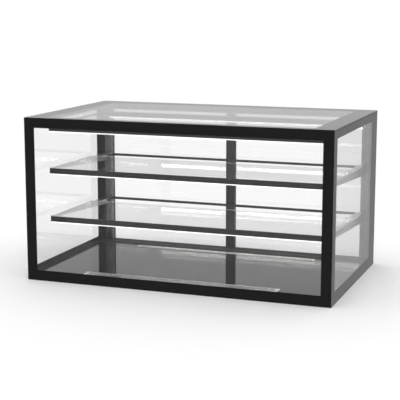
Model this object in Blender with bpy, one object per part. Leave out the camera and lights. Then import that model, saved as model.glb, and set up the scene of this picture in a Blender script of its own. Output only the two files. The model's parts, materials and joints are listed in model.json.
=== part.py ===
"""Countertop bakery display case: a glass box on a black deck, with two glass shelves that have
light bars along their fronts, a pair of light bars under the roof, and two sliding glass doors
behind. Metres, +Z up. The origin is on the counter, under the middle of the case; the front faces
-Y and the doors are at +Y. Depths are given from the front face and turned into Y by y_at."""

import math

import bmesh
import bpy
from mathutils import Vector

# The whole case.
WIDTH, DEPTH, HEIGHT = 1.160, 0.700, 0.608
GAP = 0.0003                    # between pieces that touch
PANE = 0.006                    # outer panes and shelves
DOOR_PANE = 0.004
CHAMFER = 0.0004

# Base and deck. Each rail has a thin foot under its pane and a web inside it that carries the deck.
RAIL_WIDTH, FOOT_HEIGHT, WEB_INSET = 0.040, 0.002, 0.001
DECK_TOP, DECK_THICK, DECK_TO = 0.0257, 0.004, 0.5815
GRILLE_HALF_LENGTH = 0.375
FRONT_GRILLE_FROM, FRONT_GRILLE_TO = 0.049, 0.092
REAR_GRILLE_FROM, REAR_GRILLE_TO = 0.557, 0.581
GRILLE_RIM, GRILLE_SLOT, GRILLE_PITCH = 0.006, 0.0032, 0.016

# Printed borders: a thin black layer on the inner face of each outer pane.
PRINT_THICK = 0.0007
FRONT_PRINT_SIDE, FRONT_PRINT_TOP, FRONT_PRINT_BOTTOM = 0.0385, 0.0375, 0.0385
SIDE_PRINT_FRONT, SIDE_PRINT_REAR, SIDE_PRINT_TOP, SIDE_PRINT_BOTTOM = 0.050, 0.092, 0.034, 0.044
TOP_PRINT_SIDE, TOP_PRINT_FRONT, TOP_PRINT_REAR = 0.075, 0.038, 0.070

# Rear frame: corner posts, slotted shelf uprights and the two-groove door tracks.
POST_FROM, POST_TO = 0.648, 0.6715
UPRIGHT_INNER, UPRIGHT_OUTER = 0.528, 0.558     # distances from the middle, each side
UPRIGHT_WALL = 0.0015
SLOT_WIDTH, SLOT_HEIGHT, SLOT_PITCH = 0.0032, 0.012, 0.023
HOOK_CLEARANCE, HOOK_REACH = 0.001, 0.005
SCREW_RADIUS, SCREW_FACE_RADIUS, SCREW_HEAD = 0.0035, 0.0026, 0.0016
TRACK_FROM, TRACK_TO, TRACK_WALL = 0.672, 0.698, 0.002
BOTTOM_TRACK_TOP, BOTTOM_GROOVE_FLOOR = 0.022, 0.008
TOP_TRACK_UNDERSIDE, TOP_GROOVE_ROOF = 0.573, 0.590
GROOVE_WIDTH = 0.010

# Shelf and light levels, each named by the height of its top face.
LEVEL_TOP = {"lower": 0.2215, "upper": 0.2215 + 8 * SLOT_PITCH, "top": 0.2215 + 15 * SLOT_PITCH}
SHELF_HALF_WIDTH, SHELF_FROM, SHELF_TO = 0.5405, 0.124, 0.480
LIGHT_HALF_WIDTH, LIGHT_FROM, LIGHT_LIP, LIGHT_TO = 0.5405, 0.1205, 0.003, 0.1355
LIGHT_HEIGHT, LIGHT_WALL, DIFFUSER_EDGE, DIFFUSER_DROP = 0.020, 0.0025, 0.003, 0.0035
ARM_FLANGE_THICK, ARM_FLANGE_INNER, ARM_FLANGE_TO = 0.002, 0.516, 0.636
ARM_BLADE_THICK, ARM_NOSE_HEIGHT, ARM_HEEL_HEIGHT, ARM_HEEL_LENGTH = 0.0025, 0.0045, 0.036, 0.012
TOP_ARM_HEIGHT, TOP_ARM_HEEL_HEIGHT, TOP_ARM_HEEL_LENGTH = 0.004, 0.018, 0.020
CROSS_BAR_FROM, CROSS_BAR_TO, CROSS_BAR_HEIGHT, CROSS_BAR_DROP = 0.6365, 0.6465, 0.009, 0.0095
REAR_LIGHT_HALF_WIDTH, REAR_LIGHT_FROM, REAR_LIGHT_TO = 0.5275, 0.632, 0.650
REAR_LIGHT_TOP, REAR_LIGHT_HEIGHT, REAR_DIFFUSER_HEIGHT = 0.564, 0.019, 0.005
REAR_DIFFUSER_INSET = 0.002

# Sliding doors. Their stiles overlap at the middle, and each has a grip along its outer edge.
# The travel ends with the grip still clear of the other door, for a finger.
STILE_LEFT, STILE_RIGHT, STILE_DEPTH = -0.029, 0.008, 0.009
GRIP_INNER, GRIP_OUTER, GRIP_POCKET = 0.5275, 0.570, 0.012
FINGER_GROOVE_INNER, FINGER_GROOVE_OUTER, FINGER_GROOVE_DEPTH = 0.547, 0.562, 0.005
STILE_EDGE_WALL = 0.004         # stile material beyond the pane's edge
DOOR_PANE_BOTTOM, DOOR_PANE_TOP = 0.0145, 0.5875
DOOR_PROFILE_BOTTOM, DOOR_PROFILE_TOP = 0.0245, 0.570
SHOE_DEPTH, SHOE_BOTTOM, SHOE_TOP = 0.008, 0.0115, 0.0235
GLIDE_LENGTH, GLIDE_INSET = 0.030, 0.040
BRUSH_FROM, BRUSH_TO = -0.014, -0.008
FINGER_GAP = 0.0185
DOOR_TRAVEL = GRIP_INNER + STILE_LEFT - FINGER_GAP
STOP_LENGTH = 0.012
SCREW_HEIGHTS = {"upper": 0.488, "lower": 0.120}


def y_at(from_front):
    return from_front - DEPTH / 2


def clear_scene():
    for old in list(bpy.data.objects):
        bpy.data.objects.remove(old)


def finish(name, colour, roughness, metallic=0.0, transmission=0.0):
    made = bpy.data.materials.new(name)
    made.use_nodes = True
    shader = made.node_tree.nodes["Principled BSDF"]
    shader.inputs["Base Color"].default_value = (*colour, 1)
    shader.inputs["Roughness"].default_value = roughness
    shader.inputs["Metallic"].default_value = metallic
    shader.inputs["Transmission Weight"].default_value = transmission
    made.diffuse_color = (*colour, 1 - 0.7 * transmission)
    return made


def add_box(mesh, low, high):
    corners = bmesh.ops.create_cube(mesh, size=1)["verts"]
    low, high = Vector(low), Vector(high)
    bmesh.ops.scale(mesh, vec=high - low, verts=corners)
    bmesh.ops.translate(mesh, vec=(low + high) / 2, verts=corners)


def add_object(name, mesh, middle, material, parent=None):
    """Makes the object from a bmesh drawn in world places, with its origin at middle."""
    bmesh.ops.translate(mesh, vec=-middle, verts=mesh.verts)
    bmesh.ops.recalc_face_normals(mesh, faces=mesh.faces)
    data = bpy.data.meshes.new(name)
    mesh.to_mesh(data)
    mesh.free()
    made = bpy.data.objects.new(name, data)
    bpy.context.scene.collection.objects.link(made)
    if material:
        data.materials.append(material)
    if parent:
        made.parent = parent
        middle = middle - parent.location
    made.location = middle
    return made


def chamfered(made, width=CHAMFER):
    bevel = made.modifiers.new("chamfer", "BEVEL")
    bevel.width = width
    bevel.segments = 1
    bevel.limit_method = "ANGLE"
    return made


def block(name, low, high, material, parent=None, chamfer=CHAMFER):
    mesh = bmesh.new()
    add_box(mesh, low, high)
    made = add_object(name, mesh, (Vector(low) + Vector(high)) / 2, material, parent)
    return chamfered(made, chamfer) if chamfer else made


def prism(name, outline, axis, start, end, material, parent=None, chamfer=0.0):
    """Extrudes an outline of (across, up) points along an axis: (y, z) along X, (x, y) along Z."""
    placed = {
        "X": lambda point, along: Vector((along, point[0], point[1])),
        "Z": lambda point, along: Vector((point[0], point[1], along)),
    }[axis]
    mesh = bmesh.new()
    face = mesh.faces.new([mesh.verts.new(placed(point, start)) for point in outline])
    extruded = bmesh.ops.extrude_face_region(mesh, geom=[face])["geom"]
    moved = [item for item in extruded if isinstance(item, bmesh.types.BMVert)]
    bmesh.ops.translate(mesh, vec=placed((0, 0), end - start), verts=moved)
    middle = sum((vert.co for vert in mesh.verts), Vector()) / len(mesh.verts)
    made = add_object(name, mesh, middle, material, parent)
    return chamfered(made, chamfer) if chamfer else made


def cut_boxes(target, boxes):
    """Cuts every (low, high) box out of the target, ahead of its chamfer."""
    mesh = bmesh.new()
    for low, high in boxes:
        add_box(mesh, low, high)
    cutter = add_object(f"{target.name}_cutter", mesh, Vector(), None)
    cutter.hide_render = True
    cutter.display_type = "WIRE"
    cut = target.modifiers.new("cut", "BOOLEAN")
    cut.operation = "DIFFERENCE"
    cut.object = cutter


def joined_box(target, low, high):
    """Joins the box between two corners to the target."""
    mesh = bmesh.new()
    add_box(mesh, low, high)
    extra = add_object(f"{target.name}_extra", mesh, Vector(), None)
    extra.hide_render = True
    extra.display_type = "WIRE"
    join = target.modifiers.new("join", "BOOLEAN")
    join.operation = "UNION"
    join.object = extra


def slots_between(start, end, pitch):
    """Centres of as many evenly spaced slots as fit between two places."""
    count = int((end - start) / pitch)
    first = (start + end) / 2 - (count - 1) * pitch / 2
    return [first + index * pitch for index in range(count)]


def base_and_deck(finishes):
    half, inner = WIDTH / 2, WIDTH / 2 - RAIL_WIDTH
    side = half - PANE - PRINT_THICK - 2 * GAP
    front_web = PANE + PRINT_THICK + 2 * GAP
    under_deck = DECK_TOP - DECK_THICK - GAP
    sill = DECK_TO + GAP            # the rear rail's web fills the floor behind the deck
    side_rear = sill - GAP
    rails = {
        "front_base_rail": (
            (-half, 0, half, RAIL_WIDTH), (-side, front_web, side, RAIL_WIDTH - WEB_INSET), under_deck,
        ),
        "rear_base_rail": (
            (-half, sill + WEB_INSET, half, DEPTH), (-side, sill, side, POST_TO), DECK_TOP,
        ),
        "left_base_rail": (
            (-half, RAIL_WIDTH + GAP, -inner, side_rear),
            (-side, RAIL_WIDTH + WEB_INSET, -inner - WEB_INSET, side_rear - WEB_INSET), under_deck,
        ),
        "right_base_rail": (
            (inner, RAIL_WIDTH + GAP, half, side_rear),
            (inner + WEB_INSET, RAIL_WIDTH + WEB_INSET, side, side_rear - WEB_INSET), under_deck,
        ),
    }
    for name, (foot, web, high) in rails.items():
        left, front, right, rear = foot
        rail = block(name, (left, y_at(front), 0), (right, y_at(rear), FOOT_HEIGHT),
                     finishes["black_steel"], chamfer=0)
        left, front, right, rear = web
        joined_box(rail, (left, y_at(front), FOOT_HEIGHT / 4), (right, y_at(rear), high))

    low = DECK_TOP - DECK_THICK
    deck = block(
        "deck_panel", (-side, y_at(front_web), low), (side, y_at(DECK_TO), DECK_TOP),
        finishes["black_gloss"], chamfer=0,
    )
    grilles = {
        "front_grille": (FRONT_GRILLE_FROM, FRONT_GRILLE_TO),
        "rear_grille": (REAR_GRILLE_FROM, REAR_GRILLE_TO),
    }
    reach = GRILLE_HALF_LENGTH
    cut_boxes(deck, [
        ((-reach - GAP, y_at(front - GAP), -0.01), (reach + GAP, y_at(rear + 2 * GAP), 0.1))
        for front, rear in grilles.values()
    ])
    for name, (front, rear) in grilles.items():
        grille = block(
            name, (-reach, y_at(front), low), (reach, y_at(rear), DECK_TOP),
            finishes["stainless"], chamfer=0,
        )
        cut_boxes(grille, [
            ((x - GRILLE_SLOT / 2, y_at(front + GRILLE_RIM), -0.01),
             (x + GRILLE_SLOT / 2, y_at(rear - GRILLE_RIM), 0.1))
            for x in slots_between(GRILLE_RIM - reach, reach - GRILLE_RIM, GRILLE_PITCH)
        ])


def glass_box(finishes):
    glass, ink = finishes["clear_glass"], finishes["black_print"]
    half, floor = WIDTH / 2, FOOT_HEIGHT + GAP
    roof = HEIGHT - PANE            # underside of the top pane
    block("front_glass", (-half, y_at(0), floor), (half, y_at(PANE), HEIGHT), glass)
    block("top_glass", (-half, y_at(PANE + GAP), roof), (half, y_at(DEPTH), HEIGHT), glass)

    front = PANE + GAP
    reach = half - PANE - GAP       # outermost face of a print inside the side panes
    under_roof = roof - GAP - PRINT_THICK - GAP
    front_print = block(
        "front_print", (-reach, y_at(front), floor),
        (reach, y_at(front + PRINT_THICK), under_roof), ink, chamfer=0,
    )
    cut_boxes(front_print, [(
        (-half + FRONT_PRINT_SIDE, y_at(0), FRONT_PRINT_BOTTOM),
        (half - FRONT_PRINT_SIDE, y_at(0.02), HEIGHT - FRONT_PRINT_TOP),
    )])
    back_of_print = front + PRINT_THICK + GAP
    top_print = block(
        "top_print", (-reach, y_at(back_of_print), roof - GAP - PRINT_THICK),
        (reach, y_at(DEPTH), roof - GAP), ink, chamfer=0,
    )
    cut_boxes(top_print, [(
        (-half + TOP_PRINT_SIDE, y_at(TOP_PRINT_FRONT), roof - 0.01),
        (half - TOP_PRINT_SIDE, y_at(DEPTH - TOP_PRINT_REAR), HEIGHT),
    )])
    for name, sign in (("left", -1), ("right", 1)):
        inner, outer = sorted((sign * (half - PANE), sign * half))
        block(
            f"{name}_glass", (inner, y_at(PANE + GAP), floor), (outer, y_at(DEPTH), roof - GAP), glass,
        )
        inner, outer = sorted((sign * (reach - PRINT_THICK), sign * reach))
        side_print = block(
            f"{name}_print", (inner, y_at(back_of_print), floor),
            (outer, y_at(DEPTH), under_roof), ink, chamfer=0,
        )
        cut_boxes(side_print, [(
            (min(0, sign), y_at(SIDE_PRINT_FRONT), SIDE_PRINT_BOTTOM),
            (max(0, sign), y_at(DEPTH - SIDE_PRINT_REAR), HEIGHT - SIDE_PRINT_TOP),
        )])


def track_outline(floor, rim, groove_end):
    """A two-groove track's section: a flat spine at floor, and three walls out to rim."""
    walls = [TRACK_FROM + index * (TRACK_WALL + GROOVE_WIDTH) for index in range(3)]
    points = [(y_at(TRACK_TO), floor), (y_at(TRACK_FROM), floor)]
    for wall in walls:
        points += [(y_at(wall), groove_end), (y_at(wall), rim)]
        points += [(y_at(wall + TRACK_WALL), rim), (y_at(wall + TRACK_WALL), groove_end)]
    # The first and last walls run straight into the spine's ends.
    return points[:2] + points[3:-1]


def rear_frame(finishes):
    black = finishes["black_steel"]
    floor = FOOT_HEIGHT + GAP
    roof = HEIGHT - PANE - GAP - PRINT_THICK - GAP
    side = WIDTH / 2 - PANE - PRINT_THICK - 2 * GAP
    prism(
        "rear_bottom_track", track_outline(floor, BOTTOM_TRACK_TOP, BOTTOM_GROOVE_FLOOR), "X",
        -side, side, finishes["dark_aluminium"],
    )
    prism(
        "rear_top_track", track_outline(roof, TOP_TRACK_UNDERSIDE, TOP_GROOVE_ROOF), "X",
        -side, side, finishes["dark_aluminium"],
    )
    bottom = DECK_TOP + GAP
    for name, sign in (("left", -1), ("right", 1)):
        inner, outer = sorted((sign * (UPRIGHT_OUTER + GAP), sign * side))
        block(
            f"{name}_post", (inner, y_at(POST_FROM), bottom), (outer, y_at(POST_TO), roof), black,
        )
        upright(name, sign, bottom, roof, black)
        for place, height in SCREW_HEIGHTS.items():
            post_screw(f"{name}_post_screw_{place}", (inner + outer) / 2, height, finishes["stainless"])


def upright(name, sign, bottom, roof, material):
    """A channel open to the rear, with a column of slots down its front for the arms' hooks."""
    near, far = sign * UPRIGHT_INNER, sign * UPRIGHT_OUTER
    wall = sign * UPRIGHT_WALL
    web = y_at(POST_FROM + UPRIGHT_WALL)
    rear = y_at(POST_TO)
    outline = [
        (near, y_at(POST_FROM)), (far, y_at(POST_FROM)), (far, rear), (far - wall, rear),
        (far - wall, web), (near + wall, web), (near + wall, rear), (near, rear),
    ]
    made = prism(f"{name}_shelf_upright", outline, "Z", bottom, roof, material)
    middle = (near + far) / 2
    levels = [slot for slot in slot_heights() if bottom + SLOT_HEIGHT < slot < roof - SLOT_HEIGHT]
    cut_boxes(made, [
        ((middle - SLOT_WIDTH / 2, y_at(POST_FROM) - 0.001, height - SLOT_HEIGHT / 2),
         (middle + SLOT_WIDTH / 2, web + 0.001, height + SLOT_HEIGHT / 2))
        for height in levels
    ])


def hook_heights(level):
    """Middles of an arm's two hooks, one slot apart."""
    upper_hook = LEVEL_TOP[level] - PANE - 2 * GAP - SLOT_HEIGHT / 2 - ARM_FLANGE_THICK
    return upper_hook, upper_hook - SLOT_PITCH


def slot_heights():
    first = hook_heights("lower")[0]
    return [first + step * SLOT_PITCH for step in range(-7, 18)]


def post_screw(name, x, height, material):
    mesh = bmesh.new()
    bmesh.ops.create_cone(
        mesh, cap_ends=True, segments=16, radius1=SCREW_RADIUS, radius2=SCREW_FACE_RADIUS, depth=SCREW_HEAD,
    )
    made = add_object(name, mesh, Vector(), material)
    made.rotation_euler.x = math.radians(90)
    made.location = (x, y_at(POST_FROM) - GAP - SCREW_HEAD / 2, height)


def shelf_levels(finishes):
    for level, top in LEVEL_TOP.items():
        light_bar(level, top, finishes)
        for name, sign in (("left", -1), ("right", 1)):
            arm(f"{level}_{name}_arm", level, sign, finishes["satin_steel"])
        if level == "top":
            rear_light_bar(finishes)
            continue
        block(
            f"{level}_shelf_glass", (-SHELF_HALF_WIDTH, y_at(SHELF_FROM), top - PANE),
            (SHELF_HALF_WIDTH, y_at(SHELF_TO), top), finishes["clear_glass"],
        )
        cross_bar(level, top, finishes["black_steel"])


def light_bar(level, top, finishes):
    """A front profile whose lip covers the shelf's edge, and a diffuser behind it that slants to the rear."""
    seat = top - PANE - GAP
    low, web = top - LIGHT_HEIGHT, seat - LIGHT_WALL
    wall = LIGHT_FROM + LIGHT_WALL
    profile = [
        (LIGHT_FROM, low), (wall, low), (wall, web), (LIGHT_TO, web), (LIGHT_TO, seat),
        (LIGHT_FROM + LIGHT_LIP, seat), (LIGHT_FROM + LIGHT_LIP, top), (LIGHT_FROM, top),
    ]
    front, rear, high = wall + GAP, LIGHT_TO, web - GAP
    diffuser = [
        (front, low - DIFFUSER_DROP), (front + DIFFUSER_EDGE, low - DIFFUSER_DROP),
        (rear, high - DIFFUSER_EDGE), (rear, high), (front, high),
    ]
    for name, outline, finish_name in (
        ("light_profile", profile, "dark_aluminium"), ("diffuser", diffuser, "diffuser"),
    ):
        prism(
            f"{level}_front_{name}", [(y_at(depth), height) for depth, height in outline], "X",
            -LIGHT_HALF_WIDTH, LIGHT_HALF_WIDTH, finishes[finish_name], chamfer=CHAMFER,
        )


def arm(name, level, sign, material):
    """A flange on an upright blade, which hooks into the slotted upright. It deepens towards its heel."""
    front, heel = LIGHT_TO + GAP, POST_FROM - GAP
    hooks = hook_heights(level)
    if level == "top":
        hooks = hooks[:1]
        flange_top = LEVEL_TOP[level]
        flange_low = flange_top - ARM_FLANGE_THICK
        corner = heel - TOP_ARM_HEEL_LENGTH
        heel_low = flange_low - TOP_ARM_HEEL_HEIGHT
        blade = [
            (front, flange_low), (front, flange_low - TOP_ARM_HEIGHT),
            (corner, flange_low - TOP_ARM_HEIGHT), (corner, heel_low), (heel, heel_low),
        ]
    else:
        flange_top = LEVEL_TOP[level] - PANE - GAP
        flange_low = flange_top - ARM_FLANGE_THICK
        heel_low = flange_low - ARM_HEEL_HEIGHT
        blade = [
            (front, flange_low), (front, flange_low - ARM_NOSE_HEIGHT),
            (heel - ARM_HEEL_LENGTH, heel_low), (heel, heel_low),
        ]
    for middle in reversed(hooks):
        low = middle - SLOT_HEIGHT / 2 + HOOK_CLEARANCE
        high = middle + SLOT_HEIGHT / 2 - HOOK_CLEARANCE
        tip = POST_FROM + HOOK_REACH
        blade += [(heel, low), (tip, low), (tip, high), (heel, high)]
    blade.append((heel, flange_low))

    centre = sign * (UPRIGHT_INNER + UPRIGHT_OUTER) / 2
    outside = centre + sign * ARM_BLADE_THICK / 2
    made = prism(
        name, [(y_at(depth), height) for depth, height in blade], "X",
        centre - ARM_BLADE_THICK / 2, centre + ARM_BLADE_THICK / 2, material,
    )
    inner, outer = sorted((sign * ARM_FLANGE_INNER, outside))
    joined_box(made, (inner, y_at(front), flange_low - ARM_FLANGE_THICK / 4),
               (outer, y_at(ARM_FLANGE_TO), flange_top))


def cross_bar(level, top, material):
    """A flat bar between both arms' blades, just behind their flanges."""
    high = top - CROSS_BAR_DROP
    half = (UPRIGHT_INNER + UPRIGHT_OUTER) / 2 - ARM_BLADE_THICK / 2 - GAP
    block(
        f"{level}_rear_cross_bar", (-half, y_at(CROSS_BAR_FROM), high - CROSS_BAR_HEIGHT),
        (half, y_at(CROSS_BAR_TO), high), material,
    )


def rear_light_bar(finishes):
    low = REAR_LIGHT_TOP - REAR_LIGHT_HEIGHT
    half = REAR_LIGHT_HALF_WIDTH
    block(
        "top_rear_light_profile", (-half, y_at(REAR_LIGHT_FROM), low),
        (half, y_at(REAR_LIGHT_TO), REAR_LIGHT_TOP), finishes["dark_aluminium"],
    )
    block(
        "top_rear_diffuser",
        (-half, y_at(REAR_LIGHT_FROM + REAR_DIFFUSER_INSET), low - GAP - REAR_DIFFUSER_HEIGHT),
        (half, y_at(REAR_LIGHT_TO - REAR_DIFFUSER_INSET), low - GAP), finishes["diffuser"],
    )


def door(name, sign, groove, finishes):
    """One sliding door. sign is -1 for the left door; groove counts the track's grooves from inside."""
    middle = TRACK_FROM + TRACK_WALL + GROOVE_WIDTH / 2 + groove * (GROOVE_WIDTH + TRACK_WALL)
    slider = bpy.data.objects.new(f"{name}_slider", None)
    slider.location = (0, y_at(middle), BOTTOM_GROOVE_FLOOR)
    bpy.context.scene.collection.objects.link(slider)

    far = sign * (GRIP_INNER + GRIP_POCKET - GAP)
    near = STILE_RIGHT - STILE_EDGE_WALL if sign < 0 else STILE_LEFT + STILE_EDGE_WALL
    left, right = sorted((far, near))
    front, rear = middle - DOOR_PANE / 2, middle + DOOR_PANE / 2
    block(
        f"{name}_glass", (left, y_at(front), DOOR_PANE_BOTTOM), (right, y_at(rear), DOOR_PANE_TOP),
        finishes["clear_glass"], slider,
    )

    profile_front, profile_rear = middle - STILE_DEPTH / 2, middle + STILE_DEPTH / 2
    pane_front, pane_rear = front - GAP, rear + GAP
    closed, opened = (STILE_RIGHT, STILE_LEFT) if sign < 0 else (STILE_LEFT, STILE_RIGHT)
    inside = near - sign * GAP
    stile = [
        (opened, profile_front), (closed, profile_front), (closed, profile_rear),
        (opened, profile_rear), (opened, pane_rear), (inside, pane_rear),
        (inside, pane_front), (opened, pane_front),
    ]
    vertical_profile(f"{name}_stile", stile, finishes["dark_aluminium"], slider)

    opened, closed = sign * GRIP_INNER, sign * GRIP_OUTER
    inside = sign * (GRIP_INNER + GRIP_POCKET)
    groove_floor = profile_rear - FINGER_GROOVE_DEPTH
    groove = [sign * FINGER_GROOVE_OUTER, sign * FINGER_GROOVE_INNER]
    grip = [
        (opened, profile_front), (closed, profile_front), (closed, profile_rear),
        (groove[0], profile_rear), (groove[0], groove_floor),
        (groove[1], groove_floor), (groove[1], profile_rear),
        (opened, profile_rear), (opened, pane_rear),
        (inside, pane_rear), (inside, pane_front), (opened, pane_front),
    ]
    vertical_profile(f"{name}_grip", grip, finishes["dark_aluminium"], slider)

    edge_channel(f"{name}_bottom_shoe", left, right, middle, SHOE_BOTTOM, SHOE_TOP,
                 DOOR_PANE_BOTTOM - GAP, finishes["black_nylon"], slider)
    edge_channel(f"{name}_top_guide", left, right, middle, DOOR_PANE_TOP + 0.0015, DOOR_PANE_TOP - 0.008,
                 DOOR_PANE_TOP + GAP, finishes["black_nylon"], slider)
    for place, x in (("left", left + GLIDE_INSET), ("right", right - GLIDE_INSET)):
        block(
            f"{name}_{place}_glide",
            (x - GLIDE_LENGTH / 2, y_at(middle - SHOE_DEPTH / 2), BOTTOM_GROOVE_FLOOR + GAP),
            (x + GLIDE_LENGTH / 2, y_at(middle + SHOE_DEPTH / 2), SHOE_BOTTOM - GAP),
            finishes["white_nylon"], slider,
        )


def meeting_brush(material):
    """The brush strip on the left door's stile, which closes the gap to the right door's stile."""
    inner_groove = TRACK_FROM + TRACK_WALL + GROOVE_WIDTH / 2
    outer_groove = inner_groove + GROOVE_WIDTH + TRACK_WALL
    front, rear = inner_groove + STILE_DEPTH / 2 + GAP, outer_groove - STILE_DEPTH / 2 - GAP
    block(
        "left_door_brush", (BRUSH_FROM, y_at(front), DOOR_PROFILE_BOTTOM),
        (BRUSH_TO, y_at(rear), DOOR_PROFILE_TOP), material,
        bpy.data.objects["left_door_slider"], chamfer=0,
    )


def vertical_profile(name, outline, material, parent):
    placed = [(x, y_at(depth)) for x, depth in outline]
    prism(name, placed, "Z", DOOR_PROFILE_BOTTOM, DOOR_PROFILE_TOP, material, parent, CHAMFER)


def edge_channel(name, left, right, middle, spine, rim, seat, material, parent):
    """A channel gripping a door pane's lower or upper edge: spine to rim, with the pane's edge at seat."""
    outer, inner = SHOE_DEPTH / 2, DOOR_PANE / 2 + GAP
    section = [
        (-outer, spine), (outer, spine), (outer, rim), (inner, rim),
        (inner, seat), (-inner, seat), (-inner, rim), (-outer, rim),
    ]
    placed = [(y_at(middle + across), height) for across, height in section]
    prism(name, placed, "X", left, right, material, parent)


def door_stops(finishes):
    """Rubber blocks in the bottom grooves, which each door meets when its half is fully open."""
    reach = DOOR_TRAVEL + GAP
    starts = {"left": STILE_RIGHT - STILE_EDGE_WALL + reach,
              "right": STILE_LEFT + STILE_EDGE_WALL - reach - STOP_LENGTH}
    for groove, (name, start) in enumerate(starts.items()):
        middle = TRACK_FROM + TRACK_WALL + GROOVE_WIDTH / 2 + groove * (GROOVE_WIDTH + TRACK_WALL)
        block(
            f"{name}_door_stop", (start, y_at(middle - SHOE_DEPTH / 2), BOTTOM_GROOVE_FLOOR + GAP),
            (start + STOP_LENGTH, y_at(middle + SHOE_DEPTH / 2), BOTTOM_TRACK_TOP - 0.002),
            finishes["rubber"],
        )


clear_scene()
FINISHES = {
    "black_steel": finish("black_steel", (0.012, 0.012, 0.012), 0.25),
    "black_gloss": finish("black_gloss", (0.004, 0.004, 0.004), 0.04),
    "black_print": finish("black_print", (0.008, 0.008, 0.008), 0.10),
    "clear_glass": finish("clear_glass", (0.97, 0.99, 0.98), 0.0, transmission=1.0),
    "dark_aluminium": finish("dark_aluminium", (0.035, 0.034, 0.033), 0.35, metallic=0.6),
    "satin_steel": finish("satin_steel", (0.62, 0.61, 0.60), 0.30, metallic=1.0),
    "stainless": finish("stainless", (0.66, 0.64, 0.62), 0.25, metallic=1.0),
    "diffuser": finish("diffuser", (0.93, 0.93, 0.92), 0.45),
    "white_nylon": finish("white_nylon", (0.80, 0.80, 0.78), 0.50),
    "black_nylon": finish("black_nylon", (0.015, 0.015, 0.015), 0.45),
    "rubber": finish("rubber", (0.010, 0.010, 0.010), 0.80),
    "brush": finish("brush", (0.030, 0.030, 0.030), 0.95),
}
base_and_deck(FINISHES)
glass_box(FINISHES)
rear_frame(FINISHES)
shelf_levels(FINISHES)
door("left_door", -1, 0, FINISHES)
door("right_door", 1, 1, FINISHES)
meeting_brush(FINISHES["brush"])
door_stops(FINISHES)
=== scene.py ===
"""Looks of the countertop bakery display case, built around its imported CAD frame. Metres, +Z up."""

import json
import math
import random

import bmesh
import bpy
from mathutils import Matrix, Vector


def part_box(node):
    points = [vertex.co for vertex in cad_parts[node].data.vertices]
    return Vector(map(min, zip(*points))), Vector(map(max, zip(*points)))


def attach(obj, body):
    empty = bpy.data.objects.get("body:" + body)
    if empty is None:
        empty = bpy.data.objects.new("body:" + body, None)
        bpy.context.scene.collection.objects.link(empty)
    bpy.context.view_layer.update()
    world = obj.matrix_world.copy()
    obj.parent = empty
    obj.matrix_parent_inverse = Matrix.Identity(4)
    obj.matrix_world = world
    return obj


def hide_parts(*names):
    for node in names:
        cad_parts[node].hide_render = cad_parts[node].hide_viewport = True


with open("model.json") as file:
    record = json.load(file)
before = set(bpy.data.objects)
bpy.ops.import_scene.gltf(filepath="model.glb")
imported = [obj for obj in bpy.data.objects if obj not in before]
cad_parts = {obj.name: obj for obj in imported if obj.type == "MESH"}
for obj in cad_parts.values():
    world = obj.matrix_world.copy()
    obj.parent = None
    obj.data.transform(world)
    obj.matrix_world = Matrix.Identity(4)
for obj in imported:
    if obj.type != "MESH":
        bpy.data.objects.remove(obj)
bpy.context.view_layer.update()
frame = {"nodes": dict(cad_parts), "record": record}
NODES = frame["nodes"]

X, Y, Z = 0, 1, 2

HAIR = 0.0001                   # a clearance or an overlap too small to see
EDGE_RADIUS = 0.0003            # the softened edges of the CAD nodes

INK_EMBED = 0.0002              # how far the ink sits into its pane
INK_SPREAD = 0.006              # how far the ink runs past its fired back, towards the pane's edges
WINDOW_CORNER = 0.002           # the rounding of a window's corners

RIM_WIDTH, RIM_RISE, RIM_ROUND = 0.0055, 0.0012, 0.0009
LOUVRE_PITCH, LOUVRE_GAP = 0.0064, 0.0034
TWO_ROW_DEPTH = 0.02            # a grille opening deeper than this holds two rows of louvres
RIB_HALF, RIB_BELOW, RIB_ABOVE, RIB_ROUND = 0.0015, 0.0006, 0.0005, 0.0004      # between two rows
TRAY_THICK, TRAY_ROUND = 0.0005, 0.0001
LOUVRE_SECTION = [              # share of the louvre's width, height from the grille's top
    (-0.5, -0.0014), (0.3, -0.0002), (0.5, 0.0), (0.35, 0.0005), (0.0, 0.0003), (-0.5, -0.0009),
]

SCREW_STEPS = 36
SCREW_PROFILE = [               # share of the radius, share of the head's height, six-sided
    (0.0, 0.35, False), (0.44, 0.35, True), (0.46, 0.98, True), (0.62, 1.0, False),
    (0.82, 0.86, False), (0.96, 0.50, False), (1.0, 0.0, False), (0.0, 0.0, False),
]

CAP_THICK, CAP_ROUND = 0.0025, 0.0005
CAP_FRONT, CAP_REAR, CAP_UP_DOWN = 0.0006, 0.0004, 0.0008       # how far a cap passes its profile

TRIM_SETBACK, TRIM_END = 0.040, 0.050                           # from the sill's front and its ends
TRIM_DEPTH, TRIM_RISE, TRIM_ROUND = 0.007, 0.0012, 0.0005

BRUSH_BACKING, BACKING_ROUND = 0.0008, 0.0002
TUFT_ROWS = (0.32, 0.68)        # shares of the backing's width
TUFTS_IN_ROW = 170
TUFT_UNEVEN, TUFT_LEAN = 0.0004, 0.0005
TUFT_RADIUS, TUFT_TIP = 0.42, 0.7                               # shares of the pitch and of the root

SHELF_ROUND = 0.0014
LIT_INSET, LIT_END, LIT_ROUND = 0.0012, 0.002, 0.0003           # the strip with a painted glow inside a shelf's rear edge

BEAD = 0.004                    # reach of a silicone bead along each face of its corner
BEAD_STEPS = 4


# ---------------------------------------------------------------- materials

def new_material(name):
    """An empty material, with its node tree and its shader."""
    made = bpy.data.materials.new(name)
    made.use_nodes = True
    tree = made.node_tree
    return made, tree, tree.nodes["Principled BSDF"]


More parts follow.
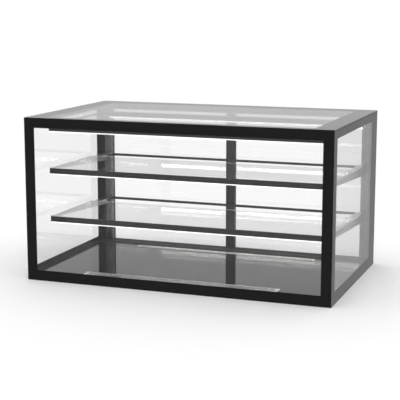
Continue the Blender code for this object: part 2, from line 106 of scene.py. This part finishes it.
def object_noise(tree, scale, detail=3.0, stretch=(1, 1, 1)):
    """Noise in the object's own metres, stretched along an axis by a small scale there."""
    place = tree.nodes.new("ShaderNodeTexCoord")
    mapping = tree.nodes.new("ShaderNodeMapping")
    mapping.inputs["Scale"].default_value = stretch
    noise = tree.nodes.new("ShaderNodeTexNoise")
    noise.inputs["Scale"].default_value = scale
    noise.inputs["Detail"].default_value = detail
    tree.links.new(place.outputs["Object"], mapping.inputs["Vector"])
    tree.links.new(mapping.outputs["Vector"], noise.inputs["Vector"])
    return noise.outputs["Fac"]


def ranged(tree, value, start, stop, low, high):
    """Maps a value from start..stop onto low..high."""
    ramp = tree.nodes.new("ShaderNodeMapRange")
    ramp.inputs["From Min"].default_value = start
    ramp.inputs["From Max"].default_value = stop
    ramp.inputs["To Min"].default_value = low
    ramp.inputs["To Max"].default_value = high
    tree.links.new(value, ramp.inputs["Value"])
    return ramp.outputs["Result"]


def spread(tree, noise, low, high):
    """Maps the usual reach of a noise onto low..high."""
    return ranged(tree, noise, 0.3, 0.7, low, high)


def drawn_along(axis, scale):
    """Noise scales for hair-fine lines that run along one axis."""
    across = 900
    return tuple(scale if index == axis else across for index in range(3))


def tinted(tree, value, dark, light):
    """A colour that a value shifts between a darker and a lighter one."""
    mix = tree.nodes.new("ShaderNodeMix")
    mix.data_type = "RGBA"
    mix.inputs["A"].default_value = (*dark, 1)
    mix.inputs["B"].default_value = (*light, 1)
    tree.links.new(value, mix.inputs["Factor"])
    return mix.outputs["Result"]


def bumped(tree, shader, value, strength, distance):
    """Fine relief from a value, up to a distance in metres."""
    bump = tree.nodes.new("ShaderNodeBump")
    bump.inputs["Strength"].default_value = strength
    bump.inputs["Distance"].default_value = distance
    tree.links.new(value, bump.inputs["Height"])
    tree.links.new(bump.outputs["Normal"], shader.inputs["Normal"])


def clear_glass():
    """Low-iron float glass, with the faintest unevenness in its tint."""
    made, tree, shader = new_material("clear_glass")
    cloud = object_noise(tree, 3, 2)
    tree.links.new(tinted(tree, cloud, (0.994, 0.996, 0.995), (0.999, 0.999, 0.999)),
                   shader.inputs["Base Color"])
    shader.inputs["Roughness"].default_value = 0.0
    shader.inputs["IOR"].default_value = 1.5
    shader.inputs["Transmission Weight"].default_value = 1.0
    return made


def painted_glow_edge():
    """The rear edge of a shelf: a pale strip with a painted glow, no lamp, standing in for the light that
    travels inside the glass.
    """
    made, tree, shader = new_material("painted_glow_edge")
    grain = object_noise(tree, 300, 2)
    tree.links.new(tinted(tree, grain, (0.88, 0.92, 0.91), (0.94, 0.96, 0.95)),
                   shader.inputs["Base Color"])
    tree.links.new(spread(tree, grain, 0.3, 0.42), shader.inputs["Roughness"])
    # painted glow and highlight: this strip is no lamp; its emission and pale colour stand in for light
    # piped along the glass
    shader.inputs["Emission Color"].default_value = (1.0, 1.0, 1.0, 1)
    shader.inputs["Emission Strength"].default_value = 0.55
    return made


def printed_ink():
    """Ink as seen through the glass that it is fused to, with no shine of its own."""
    made, tree, shader = new_material("printed_ink")
    grain = object_noise(tree, 900, 2)
    tree.links.new(tinted(tree, grain, (0.0045,) * 3, (0.0065,) * 3), shader.inputs["Base Color"])
    tree.links.new(spread(tree, grain, 0.55, 0.7), shader.inputs["Roughness"])
    shader.inputs["Specular IOR Level"].default_value = 0.0
    return made


def fired_enamel():
    """The same ink's bare back, fired smooth."""
    made, tree, shader = new_material("fired_enamel")
    grain = object_noise(tree, 700, 3)
    tree.links.new(tinted(tree, grain, (0.005,) * 3, (0.008,) * 3), shader.inputs["Base Color"])
    tree.links.new(spread(tree, grain, 0.08, 0.14), shader.inputs["Roughness"])
    return made


def deck_black():
    """The polished black deck, almost a mirror."""
    made, tree, shader = new_material("deck_black")
    cloud = object_noise(tree, 14, 4)
    tree.links.new(tinted(tree, cloud, (0.0030,) * 3, (0.0045,) * 3), shader.inputs["Base Color"])
    tree.links.new(spread(tree, cloud, 0.012, 0.022), shader.inputs["Roughness"])
    shader.inputs["IOR"].default_value = 1.5
    return made


def coated_steel():
    """Semi-gloss black powder coat with its fine orange peel."""
    made, tree, shader = new_material("coated_steel")
    peel = object_noise(tree, 420, 3)
    tree.links.new(tinted(tree, peel, (0.010,) * 3, (0.016,) * 3), shader.inputs["Base Color"])
    tree.links.new(spread(tree, peel, 0.20, 0.30), shader.inputs["Roughness"])
    bumped(tree, shader, peel, 0.25, 0.00004)
    return made


def anodised(name, dark, light, stretch):
    """Dark anodised aluminium with faint drawing lines along the extrusion."""
    made, tree, shader = new_material(name)
    lines = object_noise(tree, 1, 3, stretch)
    tree.links.new(tinted(tree, lines, dark, light), shader.inputs["Base Color"])
    tree.links.new(spread(tree, lines, 0.26, 0.38), shader.inputs["Roughness"])
    shader.inputs["Metallic"].default_value = 0.35
    return made


def brushed(name, dark, light, rough, stretch):
    """Bare steel with brushing lines."""
    made, tree, shader = new_material(name)
    lines = object_noise(tree, 1, 4, stretch)
    tree.links.new(tinted(tree, lines, dark, light), shader.inputs["Base Color"])
    tree.links.new(spread(tree, lines, rough - 0.06, rough + 0.06), shader.inputs["Roughness"])
    bumped(tree, shader, lines, 0.15, 0.00002)
    shader.inputs["Metallic"].default_value = 1.0
    return made


def opal():
    """A lit diffuser. It faces down and back, away from customers, so its front shines least."""
    made, tree, shader = new_material("opal_diffuser")
    haze = object_noise(tree, 60, 2)
    tree.links.new(tinted(tree, haze, (0.90, 0.90, 0.89), (0.95, 0.95, 0.94)),
                   shader.inputs["Base Color"])
    shader.inputs["Roughness"].default_value = 0.45
    shader.inputs["Emission Color"].default_value = (1.0, 0.985, 0.965, 1)
    facing = tree.nodes.new("ShaderNodeNewGeometry")
    apart = tree.nodes.new("ShaderNodeSeparateXYZ")
    tree.links.new(facing.outputs["True Normal"], apart.inputs["Vector"])
    tree.links.new(ranged(tree, apart.outputs["Y"], -1.0, -0.3, 0.9, 10.0),
                   shader.inputs["Emission Strength"])
    return made


def moulded(name, dark, light, rough):
    """Plastic, rubber or paint with a fine even grain."""
    made, tree, shader = new_material(name)
    grain = object_noise(tree, 500, 2)
    tree.links.new(tinted(tree, grain, dark, light), shader.inputs["Base Color"])
    tree.links.new(spread(tree, grain, rough - 0.05, rough + 0.05), shader.inputs["Roughness"])
    bumped(tree, shader, grain, 0.2, 0.00003)
    return made


MATERIALS = {
    "clear_glass": clear_glass(),
    "painted_glow_edge": painted_glow_edge(),
    "ink": printed_ink(),
    "black_print": fired_enamel(),
    "black_gloss": deck_black(),
    "black_steel": coated_steel(),
    "dark_aluminium": anodised("dark_aluminium", (0.022, 0.021, 0.020), (0.034, 0.032, 0.030),
                               drawn_along(X, 4)),
    "slotted_steel": brushed("slotted_steel", (0.150, 0.142, 0.136), (0.200, 0.190, 0.182), 0.26,
                             drawn_along(Z, 6)),
    "satin_steel": brushed("satin_steel", (0.50, 0.49, 0.48), (0.62, 0.61, 0.60), 0.32, drawn_along(Y, 8)),
    "stainless": brushed("stainless", (0.80, 0.78, 0.76), (0.95, 0.93, 0.91), 0.22, drawn_along(X, 8)),
    "sill_coat": moulded("sill_coat", (0.034, 0.031, 0.028), (0.046, 0.042, 0.038), 0.72),
    "diffuser": opal(),
    "white_nylon": moulded("white_nylon", (0.72,) * 3, (0.80,) * 3, 0.5),
    "black_nylon": moulded("black_nylon", (0.012,) * 3, (0.018,) * 3, 0.45),
    "rubber": moulded("rubber", (0.009,) * 3, (0.013,) * 3, 0.8),
    "brush": moulded("brush", (0.020,) * 3, (0.035,) * 3, 0.9),
}

# nodes whose finish differs from the others in their material slot
SPECIAL_FINISH = {
    "left_shelf_upright": "slotted_steel",
    "right_shelf_upright": "slotted_steel",
    "rear_base_rail": "sill_coat",
}


# ---------------------------------------------------------------- pieces

def dress_cad_nodes():
    """Gives every carried-over node its finish, and a fine edge radius to catch the light."""
    slots = {entry["node"]: entry["material_slot"] for entry in frame["record"]["subparts"]}
    for name, node in NODES.items():
        finish = SPECIAL_FINISH.get(name, slots[name])
        node.data.materials.clear()
        node.data.materials.append(MATERIALS[finish])
        if not name.endswith(("_glass", "_print", "screw_upper", "screw_lower")):
            bevel = node.modifiers.new("edge", "BEVEL")
            bevel.width = EDGE_RADIUS
            bevel.segments = 2
            bevel.limit_method = "ANGLE"


def add_piece(name, mesh, material, slot, body, *nodes):
    """Turns a working mesh into a named piece that rides a body and may stand in for CAD nodes."""
    data = bpy.data.meshes.new(name)
    bmesh.ops.recalc_face_normals(mesh, faces=mesh.faces)
    mesh.to_mesh(data)
    mesh.free()
    piece = bpy.data.objects.new(name, data)
    bpy.context.scene.collection.objects.link(piece)
    data.materials.append(material)
    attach(piece, body)
    if nodes:
        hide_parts(*nodes)


def add_slab(mesh, low, high, radius, segments=2):
    """A box between two corners, with its edges rounded."""
    low, high = Vector(low), Vector(high)
    corners = bmesh.ops.create_cube(mesh, size=1)["verts"]
    bmesh.ops.scale(mesh, vec=high - low, verts=corners)
    bmesh.ops.translate(mesh, vec=(low + high) / 2, verts=corners)
    edges = {edge for vert in corners for edge in vert.link_edges}
    bmesh.ops.bevel(mesh, geom=list(edges), offset=radius, segments=segments, affect="EDGES", profile=0.5)


def add_solid(mesh, near, far):
    """A closed solid between two outlines that have the same number of points."""
    ends = [[mesh.verts.new(point) for point in outline] for outline in (near, far)]
    total = len(near)
    for index in range(total):
        after = (index + 1) % total
        mesh.faces.new((ends[0][index], ends[0][after], ends[1][after], ends[1][index]))
    mesh.faces.new(list(reversed(ends[0])))
    mesh.faces.new(ends[1])


def add_ring(mesh, low, high, hole_low, hole_high, thin):
    """A flat frame: a plate with a window, thin along one axis, and the window's corners rounded."""
    across = [axis for axis in (X, Y, Z) if axis != thin]

    def loop(near, far, level):
        made = []
        for side, up in ((0, 0), (1, 0), (1, 1), (0, 1)):
            place = [0.0, 0.0, 0.0]
            place[thin] = level
            place[across[0]] = (near, far)[side][across[0]]
            place[across[1]] = (near, far)[up][across[1]]
            made.append(mesh.verts.new(place))
        return made

    outer = [loop(low, high, level) for level in (low[thin], high[thin])]
    inner = [loop(hole_low, hole_high, level) for level in (low[thin], high[thin])]
    for index in range(4):
        after = (index + 1) % 4
        mesh.faces.new((outer[0][index], outer[0][after], inner[0][after], inner[0][index]))
        mesh.faces.new((outer[1][index], inner[1][index], inner[1][after], outer[1][after]))
        mesh.faces.new((outer[0][index], outer[1][index], outer[1][after], outer[0][after]))
        mesh.faces.new((inner[0][index], inner[0][after], inner[1][after], inner[1][index]))
    edges = [mesh.edges.get((inner[0][index], inner[1][index])) for index in range(4)]
    bmesh.ops.bevel(mesh, geom=edges, offset=WINDOW_CORNER, segments=5, affect="EDGES", profile=0.5)


def window_of(node, thin):
    """The corners of a flat node's window, from the vertices inside its outline."""
    low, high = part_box(node)
    across = [axis for axis in (X, Y, Z) if axis != thin]
    inside = [
        vert.co for vert in NODES[node].data.vertices
        if all(low[axis] + HAIR < vert.co[axis] < high[axis] - HAIR for axis in across)
    ]
    return ([min(point[axis] for point in inside) for axis in (X, Y, Z)],
            [max(point[axis] for point in inside) for axis in (X, Y, Z)])


def ink_layers():
    """The ink itself, fused to each pane's inner face, in front of its own glossy back."""
    for side, thin in (("front", Y), ("left", X), ("right", X), ("top", Z)):
        low, high = (list(corner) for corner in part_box(f"{side}_print"))
        pane_low, pane_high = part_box(f"{side}_glass")
        for axis in (X, Y, Z):
            if axis != thin:
                low[axis] = max(pane_low[axis] + HAIR, low[axis] - INK_SPREAD)
                high[axis] = min(pane_high[axis] - HAIR, high[axis] + INK_SPREAD)
        if pane_high[thin] < high[thin]:
            low[thin], high[thin] = pane_high[thin] - INK_EMBED, low[thin] + HAIR
        else:
            low[thin], high[thin] = high[thin] - HAIR, pane_low[thin] + INK_EMBED
        mesh = bmesh.new()
        add_ring(mesh, low, high, *window_of(f"{side}_print", thin), thin)
        add_piece(f"{side}_ink", mesh, MATERIALS["ink"], "black_print", "case")


def grille(name):
    """A pressed grille: a raised rim around one or two rows of fine louvres, over a dark tray."""
    low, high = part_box(name)
    mesh = bmesh.new()
    inner_low = (low[0] + 2 * RIM_WIDTH, low[1] + RIM_WIDTH, low[2])
    inner_high = (high[0] - 2 * RIM_WIDTH, high[1] - RIM_WIDTH, high[2])
    add_ring(mesh, low, (high[0], high[1], high[2] + RIM_RISE), inner_low, inner_high, Z)
    rim_edges = [edge for edge in mesh.edges if all(vert.co.z > high[2] for vert in edge.verts)]
    bmesh.ops.bevel(mesh, geom=rim_edges, offset=RIM_ROUND, segments=3, affect="EDGES", profile=0.5)
    add_piece(name, mesh, MATERIALS["stainless"], "stainless", "case", name)

    long, deep = inner_high[0] - inner_low[0], inner_high[1] - inner_low[1]
    count = int(long / LOUVRE_PITCH)
    pitch = long / count
    mesh = bmesh.new()
    for index in range(count):
        middle = inner_low[0] + (index + 0.5) * pitch
        add_louvre(mesh, middle, pitch - LOUVRE_GAP, inner_low[1] - HAIR, inner_high[1] + HAIR, high[2])
    if deep > TWO_ROW_DEPTH:
        between = inner_low[1] + deep / 2
        add_slab(mesh, (inner_low[0], between - RIB_HALF, high[2] - RIB_BELOW),
                 (inner_high[0], between + RIB_HALF, high[2] + RIB_ABOVE), RIB_ROUND)
    add_piece(f"{name}_louvres", mesh, MATERIALS["stainless"], "stainless", "case")

    mesh = bmesh.new()
    add_slab(mesh, inner_low, (inner_high[0], inner_high[1], low[2] + TRAY_THICK), TRAY_ROUND)
    add_piece(f"{name}_tray", mesh, MATERIALS["black_nylon"], "black_nylon", "case")


def add_louvre(mesh, middle, width, front, rear, top):
    """One blade across the grille, tilted along X, with a rolled upper edge."""
    near, far = ([(middle + across * width, depth, top + up) for across, up in LOUVRE_SECTION]
                 for depth in (front, rear))
    add_solid(mesh, near, far)


def post_screw(name):
    """A domed screw with a hexagonal socket, facing the front."""
    low, high = (Vector(corner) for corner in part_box(name))
    middle, radius = (low + high) / 2, (high.x - low.x) / 2
    mesh = bmesh.new()
    rings = []
    for share, height, hexagonal in SCREW_PROFILE:
        depth = high.y - (high.y - low.y) * height
        if share == 0:
            rings.append([mesh.verts.new((middle.x, depth, middle.z))])
            continue
        points = []
        for step in range(SCREW_STEPS):
            turn = 2 * math.pi * step / SCREW_STEPS
            reach = radius * share
            if hexagonal:       # its corners lie on the circle
                reach *= math.cos(math.pi / 6) / math.cos((turn % (math.pi / 3)) - math.pi / 6)
            points.append(mesh.verts.new(
                (middle.x + reach * math.cos(turn), depth, middle.z + reach * math.sin(turn))))
        rings.append(points)
    for first, second in zip(rings, rings[1:]):
        for step in range(SCREW_STEPS):
            after = (step + 1) % SCREW_STEPS
            corners = [first[step % len(first)], first[after % len(first)],
                       second[after % len(second)], second[step % len(second)]]
            mesh.faces.new(list(dict.fromkeys(corners)))
    add_piece(name, mesh, MATERIALS["stainless"], "stainless", "case", name)


def light_end_caps():
    """A moulded cap over each end of the three front profiles, a little proud of the section."""
    for level in ("lower", "upper", "top"):
        low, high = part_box(f"{level}_front_light_profile")
        for side, start in (("left", low[0] - HAIR), ("right", high[0] + HAIR - CAP_THICK)):
            mesh = bmesh.new()
            add_slab(mesh, (start, low[1] - CAP_FRONT, low[2] - CAP_UP_DOWN),
                     (start + CAP_THICK, high[1] + CAP_REAR, high[2] + CAP_UP_DOWN), CAP_ROUND, 3)
            add_piece(f"{level}_light_{side}_cap", mesh, MATERIALS["black_nylon"], "black_nylon", "case")


def sill_trim():
    """A slim cover strip along the sill, in front of the posts."""
    low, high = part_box("rear_base_rail")
    front = low[1] + TRIM_SETBACK
    mesh = bmesh.new()
    add_slab(mesh, (low[0] + TRIM_END, front, high[2] - HAIR),
             (high[0] - TRIM_END, front + TRIM_DEPTH, high[2] + TRIM_RISE), TRIM_ROUND, 3)
    add_piece("sill_trim", mesh, MATERIALS["dark_aluminium"], "dark_aluminium", "case")


def door_brush():
    """The meeting strip: a backing carrier and two dense rows of slightly uneven tufts."""
    low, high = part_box("left_door_brush")
    mesh = bmesh.new()
    back = low[1] + BRUSH_BACKING
    add_slab(mesh, low, (high[0], back, high[2]), BACKING_ROUND)
    draw = random.Random(7)
    pitch = (high[2] - low[2]) / TUFTS_IN_ROW
    for share in TUFT_ROWS:
        x = low[0] + (high[0] - low[0]) * share
        for index in range(TUFTS_IN_ROW):
            z = low[2] + (index + 0.5) * pitch
            tip = high[1] - draw.uniform(0, TUFT_UNEVEN)
            lean = draw.uniform(-TUFT_LEAN, TUFT_LEAN)
            root = Vector((x, back - HAIR, z))
            add_tuft(mesh, root, Vector((x + lean, tip, z + lean)), pitch * TUFT_RADIUS)
    add_piece("left_door_brush", mesh, MATERIALS["brush"], "brush", "left_door", "left_door_brush")


def add_tuft(mesh, root, tip, radius):
    """A square tuft of bristles that narrows to its tip."""
    near, far = ([place + Vector((size * across, 0, size * up))
                  for across, up in ((-1, -1), (1, -1), (1, 1), (-1, 1))]
                 for place, size in ((root, radius), (tip, radius * TUFT_TIP)))
    add_solid(mesh, near, far)


def shelf(level):
    """A glass shelf with pencil-polished edges, and a painted glow along its rear edge for the light that
    it gives off.
    """
    low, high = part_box(f"{level}_shelf_glass")
    mesh = bmesh.new()
    add_slab(mesh, low, high, SHELF_ROUND, 3)
    add_piece(f"{level}_shelf_glass", mesh, MATERIALS["clear_glass"], "clear_glass", "case",
              f"{level}_shelf_glass")
    # a pale strip with a painted glow along the rear edge, standing in for light piped along the glass
    mesh = bmesh.new()
    add_slab(mesh, (low[0] + LIT_END, high[1] - LIT_INSET, low[2] + LIT_INSET),
             (high[0] - LIT_END, high[1] - 2 * HAIR, high[2] - LIT_INSET), LIT_ROUND)
    add_piece(f"{level}_shelf_lit_edge", mesh, MATERIALS["painted_glow_edge"], "clear_glass", "case")


def bead_section():
    """A corner and a hollow round across it, as distances from the corner's two faces."""
    turns = [step * math.pi / 2 / BEAD_STEPS for step in range(BEAD_STEPS + 1)]
    return [(0, 0)] + [(BEAD * (1 - math.sin(turn)), BEAD * (1 - math.cos(turn))) for turn in turns]


def add_bead(name, section, along):
    """A bead of black silicone: a section carried in a straight line."""
    mesh = bmesh.new()
    add_solid(mesh, section, [point + Vector(along) for point in section])
    add_piece(name, mesh, MATERIALS["rubber"], "rubber", "case")


def corner_seals():
    """The beads along the inner corners of the glass box."""
    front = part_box("front_print")[1][1]
    left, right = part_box("left_print")[1][0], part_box("right_print")[0][0]
    low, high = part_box("deck_panel")[1][2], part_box("top_print")[0][2]
    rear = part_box("left_print")[1][1]
    section = bead_section()
    for name, x, inward in (("left", left, 1), ("right", right, -1)):
        add_bead(f"{name}_front_seal",
                 [Vector((x + inward * first, front + second, low)) for first, second in section],
                 (0, 0, high - low))
        add_bead(f"{name}_roof_seal",
                 [Vector((x + inward * first, front + BEAD, high - second)) for first, second in section],
                 (0, rear - front - BEAD, 0))
    add_bead("front_roof_seal",
             [Vector((left + BEAD, front + first, high - second)) for first, second in section],
             (right - left - 2 * BEAD, 0, 0))


dress_cad_nodes()
ink_layers()
grille("front_grille")
grille("rear_grille")
for post in ("left", "right"):
    for place in ("upper", "lower"):
        post_screw(f"{post}_post_screw_{place}")
light_end_caps()
sill_trim()
door_brush()
for shelf_level in ("lower", "upper"):
    shelf(shelf_level)
corner_seals()


# ---------------------------------------------------------------- studio

FLOOR_SIZE, FLOOR_DROP = 40, 0.0003
LAMP_SIZE, LAMP_HEIGHT, LAMP_POWER = (2.4, 1.6), 2.6, 6         # metres and watts
CAMERA_PLACE = (1.4638, -4.0438, 1.0566)
AZIMUTH, ELEVATION = 20.19, 10.26                               # degrees
SENSOR_WIDTH, LENS = 36, 103.22                                 # millimetres


def studio_floor():
    """A wide pale floor that the glossy faces don't mirror."""
    bpy.ops.mesh.primitive_plane_add(size=FLOOR_SIZE, location=(0, 0, -FLOOR_DROP))
    floor = bpy.context.object
    floor.name = "studio_floor"
    made, _, shader = new_material("studio_white")
    shader.inputs["Base Color"].default_value = (0.96, 0.96, 0.96, 1)
    shader.inputs["Roughness"].default_value = 0.9
    shader.inputs["Specular IOR Level"].default_value = 0.0
    floor.data.materials.append(made)
    floor.visible_glossy = False


def studio_world():
    """White as seen, and a greyer surround in mirror images, brighter towards the back and above."""
    world = bpy.data.worlds.new("studio")
    bpy.context.scene.world = world
    world.use_nodes = True
    tree = world.node_tree
    seen = tree.nodes["Background"]
    seen.inputs["Color"].default_value = (1, 1, 1, 1)
    seen.inputs["Strength"].default_value = 1.05
    place = tree.nodes.new("ShaderNodeTexCoord")
    apart = tree.nodes.new("ShaderNodeSeparateXYZ")
    tree.links.new(place.outputs["Generated"], apart.inputs["Vector"])
    both = tree.nodes.new("ShaderNodeMath")
    tree.links.new(ranged(tree, apart.outputs["Y"], -0.6, 0.4, 0.39, 0.62), both.inputs[0])
    tree.links.new(ranged(tree, apart.outputs["Z"], -0.10, 0.06, 0.0, 0.22), both.inputs[1])
    mirrored = tree.nodes.new("ShaderNodeBackground")
    tree.links.new(both.outputs["Value"], mirrored.inputs["Strength"])
    path = tree.nodes.new("ShaderNodeLightPath")
    mix = tree.nodes.new("ShaderNodeMixShader")
    tree.links.new(path.outputs["Glossy Depth"], mix.inputs["Fac"])
    tree.links.new(seen.outputs["Background"], mix.inputs[1])
    tree.links.new(mirrored.outputs["Background"], mix.inputs[2])
    tree.links.new(mix.outputs["Shader"], tree.nodes["World Output"].inputs["Surface"])


def overhead_lamp():
    """A large soft lamp above the case, seen in no mirror image."""
    light = bpy.data.lights.new("overhead", "AREA")
    light.shape = "RECTANGLE"
    light.size, light.size_y = LAMP_SIZE
    light.energy = LAMP_POWER
    lamp = bpy.data.objects.new("overhead", light)
    lamp.location = (0, 0, LAMP_HEIGHT)
    lamp.visible_glossy = False
    lamp.visible_transmission = False
    bpy.context.scene.collection.objects.link(lamp)


def camera():
    """The viewer's place: a little to the right, a little above, turned towards the case."""
    data = bpy.data.cameras.new("camera")
    data.sensor_width = SENSOR_WIDTH
    data.lens = LENS
    made = bpy.data.objects.new("camera", data)
    made.location = CAMERA_PLACE
    made.rotation_euler = (math.pi / 2 - math.radians(ELEVATION), 0, math.radians(AZIMUTH))
    bpy.context.scene.collection.objects.link(made)
    bpy.context.scene.camera = made


studio_floor()
studio_world()
overhead_lamp()
camera()
scene = bpy.context.scene
scene.view_settings.view_transform = "Standard"
scene.cycles.max_bounces = 24
scene.cycles.transmission_bounces = 24
scene.cycles.transparent_max_bounces = 16
scene.cycles.glossy_bounces = 8

bpy.context.view_layer.update()
